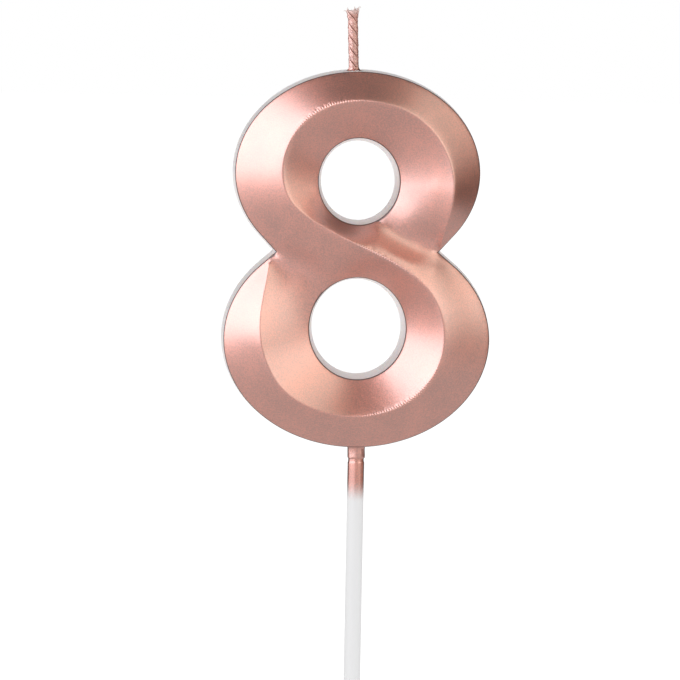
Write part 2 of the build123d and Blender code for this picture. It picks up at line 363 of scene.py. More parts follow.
def hole(number, back=0.0):
    """One hole's edge, clockwise, so that the wax lies on the same side as the outline's."""
    centre = (UPPER_HOLE_AT, LOWER_HOLE_AT)[number]
    radii = np.add((UPPER_HOLE, LOWER_HOLE)[number], HOLE_DRAFT * back)
    return ellipse(centre, radii, 2 * math.pi, 0, HOLE_STEPS[number])


def loops(back=0.0):
    """The outline and the two holes' edges."""
    return [outline(back), hole(0, back), hole(1, back)]


def side_step(path, closed=True):
    """For each point of a path, the step to its right hand side that keeps offsets parallel."""
    ahead = np.roll(path, -1, 0) - path
    if not closed:
        ahead[-1] = ahead[-2]
    ahead /= np.linalg.norm(ahead, axis=1)[:, None]
    behind = np.roll(ahead, 1, 0)
    if not closed:
        behind[0] = ahead[0]
    middle = ahead + behind
    out = np.stack([middle[:, 1], -middle[:, 0]], 1)
    return 2 * out / (middle**2).sum(1)[:, None]


def smooth_curve(knots, spacing):
    """Points evenly along a natural cubic spline through the knots."""
    knots = np.array(knots)
    t = np.concatenate([[0], np.cumsum(np.linalg.norm(np.diff(knots, axis=0), axis=1))])
    gap = np.diff(t)
    count = len(knots)
    system = np.eye(count)
    bend = np.zeros((count, 2))
    for i in range(1, count - 1):
        system[i, i - 1 : i + 2] = gap[i - 1], 2 * (gap[i - 1] + gap[i]), gap[i]
        slopes = (knots[i + 1] - knots[i]) / gap[i] - (knots[i] - knots[i - 1]) / gap[i - 1]
        bend[i] = 6 * slopes
    bend = np.linalg.solve(system, bend)
    at = np.linspace(0, t[-1], round(t[-1] / spacing) + 1)
    k = np.clip(np.searchsorted(t, at, side="right") - 1, 0, count - 2)
    g, u, v = gap[k][:, None], (at - t[k])[:, None], (t[k + 1] - at)[:, None]
    cubic = (bend[k] * v**3 + bend[k + 1] * u**3) / (6 * g)
    linear = (knots[k] / g - bend[k] * g / 6) * v + (knots[k + 1] / g - bend[k + 1] * g / 6) * u
    return cubic + linear


RIDGE = smooth_curve([NOTCH, *RIDGE_LINE, RIDGE_END], RIDGE_SPACING)
VALLEYS = [smooth_curve(valley, FRONT_SPACING) for valley in (LEFT_VALLEY, RIGHT_VALLEY)]
RIDGE_LENGTH = float(np.linalg.norm(np.diff(RIDGE, axis=0), axis=1).sum())


def ridge_height(along):
    """How far the ridge stands above the front edge, at a length along it."""
    rise = np.minimum(along / RIGHT_RISE, (RIDGE_LENGTH - along) / LEFT_FALL)
    return RELIEF * np.sin(math.pi / 2 * np.clip(rise, 0, 1))


def tree_of(points):
    """A search tree over plan points."""
    tree = KDTree(len(points))
    for i, (x, z) in enumerate(points):
        tree.insert((x, z, 0), i)
    tree.balance()
    return tree


def nearest(path, points, closed):
    """Each point's distance from a path, and how far along the path its nearest point is."""
    step = (np.roll(path, -1, 0) - path) if closed else np.diff(path, axis=0)
    length = np.linalg.norm(step, axis=1)
    before = np.concatenate([[0], np.cumsum(length)[:-1]])
    tree = tree_of(path)
    close = np.array([tree.find((x, z, 0))[1] for x, z in points])
    distance, along = np.full(len(points), np.inf), np.zeros(len(points))
    for k in (close - 1, close):
        k = k % len(step) if closed else np.clip(k, 0, len(step) - 1)
        away = points - path[k]
        share = np.clip((away * step[k]).sum(1) / length[k] ** 2, 0, 1)
        gap = np.linalg.norm(away - share[:, None] * step[k], axis=1)
        along = np.where(gap < distance, before[k] + share * length[k], along)
        distance = np.minimum(gap, distance)
    return distance, along


def inside(points, polygons):
    """Which points an odd number of polygons hold."""
    odd = np.zeros(len(points), bool)
    for ring in polygons:
        end = np.roll(ring, -1, 0)
        for (x, z), (u, v) in zip(ring, end):
            spans = (points[:, 1] < z) != (points[:, 1] < v)
            if z != v:
                odd ^= spans & (points[:, 0] < x + (points[:, 1] - z) * (u - x) / (v - z))
    return odd


# ======== meshing a face of the numeral ========
def hexagon_grid(low, high, spacing):
    """Points in staggered rows between two corners."""
    row = spacing * math.sqrt(3) / 2
    x, z = np.meshgrid(np.arange(low[0], high[0], spacing), np.arange(low[1], high[1], row))
    x[1::2] += spacing / 2
    return np.stack([x.ravel(), z.ravel()], 1)


def fill(edge, rings, lines, spacing):
    """Triangles between the edge loops that follow the rings and lines: points, triangles, edge numbers."""
    paths = [(path, True) for path in (*edge, *rings)] + [(path, False) for path in lines]
    grid = hexagon_grid(edge[0].min(0), edge[0].max(0), spacing)
    grid = grid[inside(grid, edge)]
    crowd = tree_of(np.concatenate([path for path, _ in paths]))
    grid = grid[[crowd.find((x, z, 0))[2] > spacing * CROWDING for x, z in grid]]
    points, ties, firsts = [grid], [], []
    count = len(grid)
    for path, closed in paths:
        last = len(path) if closed else len(path) - 1
        ties += [(count + i, count + (i + 1) % len(path)) for i in range(last)]
        firsts.append(count)
        points.append(path)
        count += len(path)
    flat = [Vector(p) for p in np.concatenate(points)]
    made, _, faces, sources, _, _ = delaunay_2d_cdt(flat, ties, [], 0, 1e-6)
    where = {source: i for i, found in enumerate(sources) for source in found}
    points = np.array([tuple(p) for p in made])
    faces = np.array(faces)
    faces = faces[inside(points[faces].mean(1), edge)]
    numbers = [np.array([where[first + i] for i in range(len(path))]) for path, first in zip(edge, firsts)]
    return points, faces, numbers


def blend(points, faces, height, amount, rounds):
    """Evens out the height between neighbours, by an amount from 0 to 1 at each point."""
    i = np.concatenate([faces[:, k] for k in (0, 1, 2, 1, 2, 0)])
    j = np.concatenate([faces[:, k] for k in (1, 2, 0, 0, 1, 2)])
    near = np.bincount(i, minlength=len(points))
    for _ in range(rounds):
        mean = np.bincount(i, height[j], len(points)) / np.maximum(near, 1)
        height = height + amount * (mean - height)
    return height


def unevenness(points, size, seed):
    """Smooth noise of about -1 to 1 over plan points."""
    return np.array([noise.noise((x / size, z / size, seed)) for x, z in points])


def rounded_least(first, second):
    """The smaller of two distances, rounded over where they are alike."""
    power = CREST_SHARPNESS
    return first * second / np.maximum(first**power + second**power, 1e-12) ** (1 / power)


def strokes(edge):
    """The front's four regions: whether it is on the ridge's upper side, its polygon or None for the
    rest of that side, the stretch of ridge above it, its hole and its valley."""
    top, bottom = int(RIDGE[:, 1].argmax()), int(RIDGE[:, 1].argmin())
    over = [(RIDGE[top, 0], edge[1][:, 1].mean())]
    under = [(RIDGE[bottom, 0], edge[2][:, 1].mean())]
    head = np.concatenate([RIDGE[: top + 1], over, VALLEYS[1][::-1]])
    foot = np.concatenate([RIDGE[bottom:], VALLEYS[0], under])
    yield False, head, slice(0, top + 1), edge[1], VALLEYS[1]
    yield False, None, slice(top, None), edge[1], VALLEYS[1]
    yield True, foot, slice(bottom, None), edge[2], VALLEYS[0]
    yield True, None, slice(0, bottom + 1), edge[2], VALLEYS[0]


def carved(points, edge):
    """Slopes from the ridge down to the edges and the valleys, straight but for the stroke on top, which
    bulges beside the valleys."""
    gap, along = nearest(RIDGE, points, False)
    split = ARC_STEPS[0] + 2 * LINE_STEPS
    rims = {True: edge[0][: split + 1], False: np.concatenate([edge[0][split:], edge[0][:1]])}
    beyond = edge[0] + side_step(edge[0]) * SIDE_MARGIN
    upper = inside(points, [np.concatenate([beyond[: split + 1], RIDGE[::-1]])])
    places = np.linspace(0, RIDGE_LENGTH, len(RIDGE))
    height = np.zeros(len(points))
    done = np.zeros(len(points), bool)
    for is_upper, polygon, stretch, hole_edge, valley in strokes(edge):
        mine = (upper == is_upper) & ~done
        if polygon is not None:
            mine &= inside(points, [polygon])
        done |= mine
        here = points[mine]
        arm_gap, arm_along = nearest(RIDGE[stretch], here, False)
        top = ridge_height(arm_along + places[stretch][0])
        valley_gap, reached = nearest(valley, here, False)
        hole_gap = nearest(hole_edge, here, True)[0]
        far_gap = nearest(rims[is_upper], here, False)[0]
        rim_gap = np.minimum(far_gap, hole_gap)
        low = np.minimum(far_gap, rounded_least(hole_gap, valley_gap))
        by_valley = rim_gap**2 / np.maximum(rim_gap**2 + valley_gap**2, 1e-9)
        lift = VALLEY_LIFT * np.sin(math.pi * reached / reached.max()) * by_valley
        share = low / np.maximum(low + arm_gap, 1e-9)
        if polygon is None:
            share += OVERLAP_BULGE * by_valley * share * (1 - share)
        height[mine] = lift + (top - lift) * share
    return np.maximum(height, 0), gap, along


def teeth(along, gap):
    """How deep the cutter's teeth bite into the ridge."""
    places = np.array(TOOTH_PLACES)[:, None]
    reach = np.exp(-(((along - places) / TOOTH_REACH) ** 2)).max(0)
    wave = 0.5 + 0.5 * np.cos(2 * math.pi * along / TOOTH_PITCH)
    return TOOTH_DEPTH * reach * wave * np.exp(-((gap / TOOTH_WIDTH) ** 2))


def front_face():
    """The carved front: plan points, depth, triangles and the numbers of its edge points."""
    edge = loops()
    rings = [ring - side_step(ring) * inset for ring in edge for inset in RIM_INSETS]
    aside = side_step(RIDGE, closed=False)
    along = np.linspace(0, RIDGE_LENGTH, len(RIDGE))
    from_end = np.minimum(along, RIDGE_LENGTH - along)
    lines = [RIDGE[from_end > RIDGE_STOPS[0]]]
    clear = from_end > RIDGE_STOPS[1]
    for inset in RIDGE_INSETS:
        lines += [RIDGE[clear] + aside[clear] * inset * side for side in (-1, 1)]
    points, faces, numbers = fill(edge, rings, lines, FRONT_SPACING)
    height, ridge_gap, ridge_along = carved(points, edge)
    edge_gap = np.min([nearest(path, points, True)[0] for path in edge], axis=0)
    valley_gap = np.min([nearest(valley, points, False)[0] for valley in VALLEYS], axis=0)
    open_gap = np.minimum(edge_gap, ridge_gap)
    near_valley = np.clip((VALLEY_WIDTH - valley_gap) / VALLEY_FADE, 0, 1)
    in_the_open = np.clip((open_gap / EDGE_CLEARANCE - 1) / 2, 0, 1)
    soft = VALLEY_BLEND * near_valley * in_the_open
    height = blend(points, faces, height, soft, VALLEY_ROUNDS)
    crest = np.hypot(ridge_gap, RIDGE_ROUNDING) - ridge_gap
    height -= RIDGE_WEAR * crest * ridge_height(ridge_along) / RELIEF
    height -= teeth(ridge_along, ridge_gap)
    fall = np.clip(1 - edge_gap / RIM_RADIUS, 0, 1)
    height -= RIM_RADIUS * (1 - np.sqrt(1 - fall**2))
    return points, EDGE_Y - height, faces, numbers


def back_face():
    """The poured back, rounded down to its edge and a little sunk."""
    edge = loops(1.0)
    insets = [BACK_RADIUS * share for share in BACK_INSETS]
    rings = [ring - side_step(ring) * inset for ring in edge for inset in insets]
    points, faces, numbers = fill(edge, rings, [], BACK_SPACING)
    edge_gap = np.min([nearest(path, points, True)[0] for path in edge], axis=0)
    fall = np.clip(1 - edge_gap / BACK_RADIUS, 0, 1)
    depth = BACK_Y - BACK_RADIUS * (1 - np.sqrt(1 - fall**2))
    uneven = 1 + DISH_UNEVENNESS * unevenness(points, DISH_LUMPS, DISH_SEED)
    depth -= BACK_DISH * np.clip(edge_gap / DISH_REACH, 0, 1) ** 2 * uneven
    return points, depth, faces[:, ::-1], numbers


# ======== the wax body ========
def to_frame(plan, y):
    """Plan points and depths in millimetres, as metres in the shared frame."""
    c, s = math.cos(NUMERAL_LEAN), math.sin(NUMERAL_LEAN)
    x = NUMERAL_AT[0] + plan[:, 0] * c - plan[:, 1] * s
    z = NUMERAL_AT[1] + plan[:, 0] * s + plan[:, 1] * c
    return np.stack([x, np.broadcast_to(y, x.shape), z], 1) * MM


def strip(first, second):
    """Four-sided faces between two closed rows of vertex numbers."""
    return np.stack([first, np.roll(first, -1), np.roll(second, -1), second], 1)


def make_numeral():
    """The carved front and the poured back, joined by drafted side walls."""
    points, depth, faces, rims = front_face()
    back_points, back_depth, back_faces, back_rims = back_face()
    vertices = [to_frame(points, depth), to_frame(back_points, back_depth)]
    count = len(points) + len(back_points)
    faces, quads = [faces, back_faces + len(points)], []
    start_y, end_y = EDGE_Y + RIM_RADIUS, BACK_Y - BACK_RADIUS
    fronts, backs = loops(), loops(1.0)
    for front, back, rim, back_rim in zip(fronts, backs, rims, back_rims):
        row = rim
        for i in range(1, WALL_ROWS):
            share = i / WALL_ROWS
            ring = front + (back - front) * share
            vertices.append(to_frame(ring, start_y + (end_y - start_y) * share))
            following = np.arange(count, count + len(ring))
            count += len(ring)
            quads.append(strip(row, following))
            row = following
        quads.append(strip(row, back_rim + len(points)))
    mesh = bpy.data.meshes.new("wax_body")
    polygons = [tuple(f) for part in (*faces, *quads) for f in part.tolist()]
    mesh.from_pydata(np.concatenate(vertices).tolist(), [], polygons)
    return mesh


def sprayed(centre):
    """Whether a face of the wax is fully lacquered: on the carved front, the neck or the wick's foot."""
    x, y, z = centre / MM
    base, axis = wick_frame()
    lean = axis.x / axis.z
    low = NUMERAL_AT[1] - LOWER_LOOP[1]
    top = NUMERAL_AT[1] + UPPER_CENTRE[1] + UPPER_LOOP[1]
    on_neck = z < low and math.hypot(x, y) < NECK_RADIUS + NECK_SPREAD
    on_foot = z > top and math.hypot(x - base.x - (z - base.z) * lean, y) < FOOT_RADIUS
    return y < EDGE_Y + RIM_RADIUS or on_neck or on_foot


def finish_piece(name, mesh, materials, slot, *nodes):
    """Makes a mesh the piece that replaces some CAD nodes. The first of two materials is lacquer."""
    mesh.shade_smooth()
    mesh.materials.clear()
    for material in materials:
        mesh.materials.append(material)
    if len(materials) > 1:
        for polygon in mesh.polygons:
            polygon.material_index = 0 if sprayed(polygon.center) else 1
    piece = bpy.data.objects.new(name, mesh)
    bpy.context.scene.collection.objects.link(piece)
    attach(piece, "root")
    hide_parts(*nodes)


# ======== turned shapes: stick, neck and wick foot ========
def rounded(profile, cut, steps=4):
    """The profile with each corner cut back and replaced by a smooth curve."""
    points = [Vector(point) for point in profile]
    turned = [points[0]]
    for before, corner, after in zip(points, points[1:], points[2:]):
        to, on = before - corner, after - corner
        start = corner + to.normalized() * min(cut, to.length * 0.45)
        end = corner + on.normalized() * min(cut, on.length * 0.45)
        for i in range(steps + 1):
            t = i / steps
            turned.append(start * (1 - t) ** 2 + corner * (2 * t * (1 - t)) + end * t**2)
    return turned + [points[-1]]


def divided(profile, longest):
    """The profile with its long runs divided evenly."""
    points = [profile[0]]
    for start, end in zip(profile, profile[1:]):
        count = max(1, math.ceil((end - start).length / longest))
        points += [start.lerp(end, (i + 1) / count) for i in range(count)]
    return points


def lathe(name, profile, place, axis, turns, wobble):
    """A closed turned mesh. The profile is radius and height, from the axis at the bottom to the
    axis at the top, and wobble(angle, height) is added to the radius."""
    turn = Vector((0, 0, 1)).rotation_difference(Vector(axis))
    vertices = [(0, 0, profile[0][1])]
    for radius, height in profile[1:-1]:
        for i in range(turns):
            angle = 2 * math.pi * i / turns
            r = radius + wobble(angle, height)
            vertices.append((r * math.cos(angle), r * math.sin(angle), height))
    vertices.append((0, 0, profile[-1][1]))
    rows = [[1 + k * turns + i for i in range(turns)] for k in range(len(profile) - 2)]
    faces = [(0, b, a) for a, b in zip(rows[0], rows[0][1:] + rows[0][:1])]
    for low, high in zip(rows, rows[1:]):
        for i in range(turns):
            j = (i + 1) % turns
            faces.append((low[i], low[j], high[j], high[i]))
    last = len(vertices) - 1
    faces += [(last, a, b) for a, b in zip(rows[-1], rows[-1][1:] + rows[-1][:1])]
    mesh = bpy.data.meshes.new(name)
    mesh.from_pydata([(turn @ Vector(v) + Vector(place)) * MM for v in vertices], [], faces)
    return mesh


def even(angle, height):
    """No wobble."""
    return 0.0


def lumpy(size, depth, seed):
    """A wobble of soft lumps, on a turned shape of about the neck's radius."""
    around_by = NECK_RADIUS / size

    def wobble(angle, height):
        place = around_by * math.cos(angle), around_by * math.sin(angle) + seed, height / size
        return depth * noise.noise(place)

    return wobble


def tang_profile(shrink):
    """The stick's grooved top end, from its shoulder up, as radius and height."""
    slope = (TANG_TOP_RADIUS - TANG_RADIUS) / (TANG_TOP - SHOULDER_HEIGHT)
    profile = [(TANG_RADIUS - shrink, SHOULDER_HEIGHT)]
    for i in range(GROOVES):
        low = LOWEST_GROOVE + i * GROOVE_PITCH
        high = low + GROOVE_WIDTH
        for z, r in ((low, None), (low, GROOVE_RADIUS), (high, GROOVE_RADIUS), (high, None)):
            full = TANG_RADIUS + slope * (z - SHOULDER_HEIGHT)
            profile.append(((r or full) - shrink, z))
    return profile + [(TANG_TOP_RADIUS - shrink, TANG_TOP)]


def moulded(angle, height):
    """The faint parting line that a two-part mould leaves down the shank."""
    if not -SHANK_LENGTH < height < 0:
        return 0.0
    seam = SEAM_HEIGHT * math.exp(-((math.sin(angle) / SEAM_WIDTH) ** 2))
    return seam + SHANK_UNEVENNESS * noise.noise((0, angle, height / SHANK_LUMPS))


def make_stick():
    """Tip, shank, shoulder and the grooved end that the wax holds."""
    tip = [(0, -SHANK_LENGTH - TIP_LENGTH), (TIP_RADIUS, -SHANK_LENGTH - TIP_LENGTH)]
    shank = [(SHANK_RADIUS, -SHANK_LENGTH), (SHANK_RADIUS, 0)]
    profile = tip + shank + tang_profile(0.0) + [(0, TANG_TOP)]
    shape = divided(rounded(profile, 0.12), 1.2)
    return lathe("stick", shape, (0, 0, 0), (0, 0, 1), STICK_TURNS, moulded)


def make_neck():
    """The sleeve of wax round the stick, spread a little where it meets the numeral."""
    r, top = NECK_RADIUS, NUMERAL_AT[1] - LOWER_LOOP[1]
    profile = [(0, NECK_BOTTOM), (r - 0.12, NECK_BOTTOM), (r, NECK_BOTTOM + 0.25), (r, top - 0.4)]
    profile += [(r + 0.15, top - 0.05), (r + 0.5, top + 0.25), (r, NECK_TOP), (0, NECK_TOP)]
    shape = divided(rounded(profile, 0.15), 0.4)
    return lathe("neck", shape, (0, 0, 0), (0, 0, 1), NECK_TURNS, lumpy(*NECK_LUMPS))


# ======== wick ========
def wick_frame():
    """The wick's lowest point in the frame, and the direction it runs in."""
    c, s = math.cos(NUMERAL_LEAN), math.sin(NUMERAL_LEAN)
    x = NUMERAL_AT[0] + WICK_X * c - WICK_BOTTOM * s
    z = NUMERAL_AT[1] + WICK_X * s + WICK_BOTTOM * c
    lean = NUMERAL_LEAN + WICK_LEAN
    return Vector((x, 0, z)), Vector((-math.sin(lean), 0, math.cos(lean)))


def wick_exit():
    """How far above its bottom the wick leaves the numeral's top."""
    return UPPER_CENTRE[1] + UPPER_LOOP[1] - WICK_BOTTOM


def make_foot():
    """The small collar of wax that creeps up the wick."""
    base, axis = wick_frame()
    out = wick_exit()
    profile = [(0, out - 1.2), (2.1, out - 1.2), (1.75, out - 0.1), (1.25, out + 0.18)]
    profile += [(1.0, out + 0.5), (0.86, out + 0.9), (0, out + 0.9)]
    shape = divided(rounded(profile, 0.2), 0.25)
    return lathe("foot", shape, base, axis, FOOT_TURNS, lumpy(*FOOT_LUMPS))


def skin(rings, vertices, faces):
    """Adds a closed tube over rows of points."""
    first, sides = len(vertices), len(rings[0])
    for ring in rings:
        vertices.extend(ring)
    for i in range(len(rings) - 1):
        row = first + i * sides
        for k in range(sides):
            j = (k + 1) % sides
            faces.append((row + k, row + j, row + sides + j, row + sides + k))
    faces.append(tuple(first + k for k in reversed(range(sides))))
    last = first + (len(rings) - 1) * sides
    faces.append(tuple(last + k for k in range(sides)))


def fibre(path, thick, sides, vertices, faces):
    """Adds a fibre that thins out along its path."""
    rings = []
    across = Vector((1, 0, 0))
    for i, point in enumerate(path):
        ahead = path[min(i + 1, len(path) - 1)] - path[max(i - 1, 0)]
        ahead.normalize()
        across = (across - ahead * across.dot(ahead)).normalized()
        up = ahead.cross(across)
        turns = [2 * math.pi * k / sides for k in range(sides)]
        reach = thick * (1 - FIBRE_TAPER * i)
        spokes = [across * math.cos(turn) + up * math.sin(turn) for turn in turns]
        rings.append([point + spoke * reach for spoke in spokes])
    skin(rings, vertices, faces)


def opening(height):
    """How far the wick has opened, from 0 below the cut end to 1 at it."""
    return max(0.0, 1 - (WICK_TOP - WICK_BOTTOM - height) / FRAY_LENGTH) ** 1.5


def ply_place(number, height):
    """The middle of one ply, and the direction it lies in from the wick's axis."""
    turn = 2 * math.pi * (number / PLIES - height / TWIST_PITCH)
    outward = Vector((math.cos(turn), math.sin(turn), 0))
    return outward * PLY_OFFSET * (1 + FRAY_SPREAD * opening(height)) + Vector((0, 0, height)), outward


def ply_ring(number, height):
    """One section of a ply. The plies press each other into thirds of a circle with rounded corners."""
    middle, outward = ply_place(number, height)
    beside = Vector((-outward.y, outward.x, 0))
    out = middle.dot(outward)
    full = out + PLY_RADIUS
    inner = out - HOLLOW_RADIUS * opening(height)
    deep = LUMP_DEPTH + (FRAYED_LUMP_DEPTH - LUMP_DEPTH) * opening(height)
    ring = []
    for k in range(PLY_SIDES):
        turn = 2 * math.pi * k / PLY_SIDES
        c, s = math.cos(turn), math.sin(turn)
        side = abs(math.atan2(s, c)) - math.pi / PLIES
        circle = math.sqrt(full**2 - (out * s) ** 2) - out * c
        flank = (out * math.sin(math.pi / PLIES) - PLY_GAP) / max(math.sin(side), NEARLY_NONE)
        core = inner / max(-c, NEARLY_NONE)
        size = sum(limit**-PLY_SQUARENESS for limit in (circle, flank, core)) ** (-1 / PLY_SQUARENESS)
        lumps = deep * noise.noise((c * 1.3 + 7 * number, s * 1.3, height * 1.6))
        grains = GRAIN_DEPTH * noise.noise((c * 3.2, s * 3.2 + number, height * 4))
        strand = STRAND_DEPTH * math.cos(STRANDS * turn + 2 * math.pi * height / STRAND_PITCH)
        size *= PLY_FIT + (lumps + grains + strand) * max(c, 0.0)
        ring.append(middle + (outward * c + beside * s) * size)
    return ring


def make_ply(number):
    """One ply of the wick, with its loose fibres at the cut end."""
    base, axis = wick_frame()
    turn = Vector((0, 0, 1)).rotation_difference(axis)
    total = WICK_TOP - WICK_BOTTOM
    rng = np.random.default_rng(PLY_SEED + number)
    body_top = total - rng.uniform(0.15, 0.5)
    count = round(body_top / PLY_STEP)
    vertices, faces = [], []
    skin([ply_ring(number, body_top * i / count) for i in range(count + 1)], vertices, faces)
    for _ in range(LOOSE_FIBRES):
        start = total - rng.uniform(0.5, 1.3)
        spread = rng.uniform(0, 2 * math.pi)
        root = ply_place(number, start)[0] + Vector((math.cos(spread), math.sin(spread), 0)) * 0.25
        outward = Vector((root.x, root.y, 0)).normalized()
        sway = Vector((*rng.normal(0, 0.22, 2), 0))
        rise = total + rng.uniform(-0.45, 0.3) - start
        bend = outward * rng.uniform(0.1, 0.75) + sway
        shares = np.linspace(0, 1, FIBRE_POINTS)
        points = [root + Vector((0, 0, rise * t)) + bend * t**2 for t in shares]
        thick = rng.uniform(0.045, 0.09)
        fibre(points, thick, FIBRE_SIDES, vertices, faces)
    mesh = bpy.data.meshes.new(f"wick_ply_{number + 1}")
    mesh.from_pydata([(turn @ v + base) * MM for v in vertices], [], faces)
    return mesh


def join_by(mesh, tools):
    """The mesh after other meshes are added to it or cut from it in turn."""
    scene = bpy.context.scene
    body = bpy.data.objects.new("work", mesh)
    scene.collection.objects.link(body)
    helpers = []
    for operation, other in tools:
        helper = bpy.data.objects.new("helper", other)
        scene.collection.objects.link(helper)
        modifier = body.modifiers.new(operation, "BOOLEAN")
        modifier.object, modifier.operation, modifier.solver = helper, operation, "EXACT"
        helpers.append(helper)
    bpy.context.view_layer.update()
    evaluated = body.evaluated_get(bpy.context.evaluated_depsgraph_get())
    made = bpy.data.meshes.new_from_object(evaluated)
    for done in [body, *helpers]:
        bpy.data.objects.remove(done)
    return made


def make_wax():
    """The numeral with its neck and wick foot, and the sockets that hold the stick and the wick."""
    base, axis = wick_frame()
    r = PLY_OFFSET + PLY_RADIUS - SOCKET_FIT
    total = WICK_TOP - WICK_BOTTOM
    under = -CHANNEL_EXTRA
    channel = [Vector(p) for p in ((0, under), (r, under), (r, total), (0, total))]
    mouth = [(0, 0), (TANG_RADIUS - SOCKET_FIT, 0)]
    socket = [Vector(p) for p in [*mouth, *tang_profile(SOCKET_FIT), (0, TANG_TOP)]]
    tools = [("UNION", make_neck()), ("UNION", make_foot())]
    tools.append(("DIFFERENCE", lathe("socket", socket, (0, 0, 0), (0, 0, 1), SOCKET_TURNS, even)))
    tools.append(("DIFFERENCE", lathe("channel", channel, base, axis, CHANNEL_TURNS, even)))
    return join_by(make_numeral(), tools)


# ======== materials ========
PAINT_BRIGHT = (0.78, 0.220, 0.122, 1)
PAINT_DEEP = (0.48, 0.132, 0.071, 1)
# Dull dark lacquer: partly dust that dried in the air, partly painted shade on edges and on sides turned
# away from the front.
PAINT_DRY_AND_SHADE = (0.09, 0.036, 0.028, 1)
PAINT_METAL = 0.70
THIN_PAINT_METAL = 0.45  # where the lacquer is thin: on the stick and the wick
PAINT_ROUGHNESS = (0.30, 0.48)  # between the flakes and on them
DRY_ROUGHNESS, DRY_COAT = 0.3, 0.1  # what the dull dark places add in roughness, and what they keep of the lacquer's gloss
FLAKE_SIZE, CLOUD_SIZE, CLOUD_SHARE = 0.28, 6.0, 0.25
# Bare materials: colour and roughness.
BARE_WAX = (0.97, 0.92, 0.91, 1), 0.42
BARE_PLASTIC = (0.84, 0.84, 0.845, 1), 0.36
BARE_COTTON = (0.84, 0.70, 0.66, 1), 0.6
RIM_DEPTH, RIM_WIDTH, RIM_THINNING = 0.11, 0.09, 0.1  # where the lacquer draws back from the front edge, thinner there, with a dark line of painted shade
MIST_AT_FRONT, MIST_AT_BACK = 0.14, 0.02  # how much of the side walls the spray's mist covers
OVERSPRAY_AND_SHADE_DEPTH = 0.6  # the lacquer wraps onto the side walls this far behind the front edge, painted dark there as shade
FADE_START, FADE_END, FADE_RAGGEDNESS = -2.9, -7.4, 1.6  # where the spray fades out on the stick
FRAY_THINNING = 1.6, 0.3  # the wick's spray thins out between these depths below its top


def calc(tree, operation, *values):
    """One maths node's output."""
    made = tree.nodes.new("ShaderNodeMath")
    made.operation = operation
    for socket, value in zip(made.inputs, values):
        if isinstance(value, bpy.types.NodeSocket):
            tree.links.new(value, socket)
        else:
            socket.default_value = value
    return made.outputs[0]


def ramp(tree, value, low, high, start=0.0, end=1.0):
    """A smooth change from start to end as the value goes from low to high."""
    settings = {"Value": value, "From Min": low, "From Max": high, "To Min": start, "To Max": end}
    return node(tree, "ShaderNodeMapRange", settings, interpolation_type="SMOOTHSTEP").outputs[0]


def grain(tree, place, size, detail=2.0, roughness=0.5):
    """Noise whose features are about this many millimetres across."""
    settings = {"Vector": place, "Scale": 1 / (size * MM), "Detail": detail, "Roughness": roughness}
    return node(tree, "ShaderNodeTexNoise", settings).outputs["Fac"]


def blend_colour(tree, share, first, second):
    """The first colour where share is 0, and the second where it is 1."""
    made = tree.nodes.new("ShaderNodeMix")
    made.data_type = "RGBA"
    tree.links.new(share, made.inputs["Factor"])
    for name, value in (("A", first), ("B", second)):
        socket = next(s for s in made.inputs if s.name == name and s.type == "RGBA")
        if isinstance(value, bpy.types.NodeSocket):
            tree.links.new(value, socket)
        else:
            socket.default_value = value
    return next(s for s in made.outputs if s.type == "RGBA")


def bump(tree, height, depth, normal=None):
    """Raises the surface by up to this many millimetres where height is 1."""
    inputs = {"Height": height, "Distance": depth * MM, "Strength": 1.0}
    if normal:
        inputs["Normal"] = normal
    return node(tree, "ShaderNodeBump", inputs).outputs[0]


def turned_away(tree, start, end):
    """0 on surfaces that face the front, where the spray came from, and 1 on those that do not. It sets
    where the spray reached, and where shade is painted on sides turned away from the front.
    """
    facing = axes(tree, tree.nodes.new("ShaderNodeNewGeometry").outputs["Normal"])["Y"]
    return ramp(tree, facing, -start, -end)


def in_reach(tree):
    """0 on surfaces that face the back, which the spray never reached."""
    return calc(tree, "SUBTRACT", 1.0, turned_away(tree, 0.0, -0.35))


def lacquer_tone(tree, flakes, place):
    """How bright the lacquer's pigment is: fine flakes over slow clouds."""
    clouds = calc(tree, "MULTIPLY", grain(tree, place, CLOUD_SIZE, 2.0), CLOUD_SHARE)
    tone = calc(tree, "ADD", calc(tree, "MULTIPLY", flakes, 1 - CLOUD_SHARE), clouds)
    return ramp(tree, tone, 0.36, 0.64)


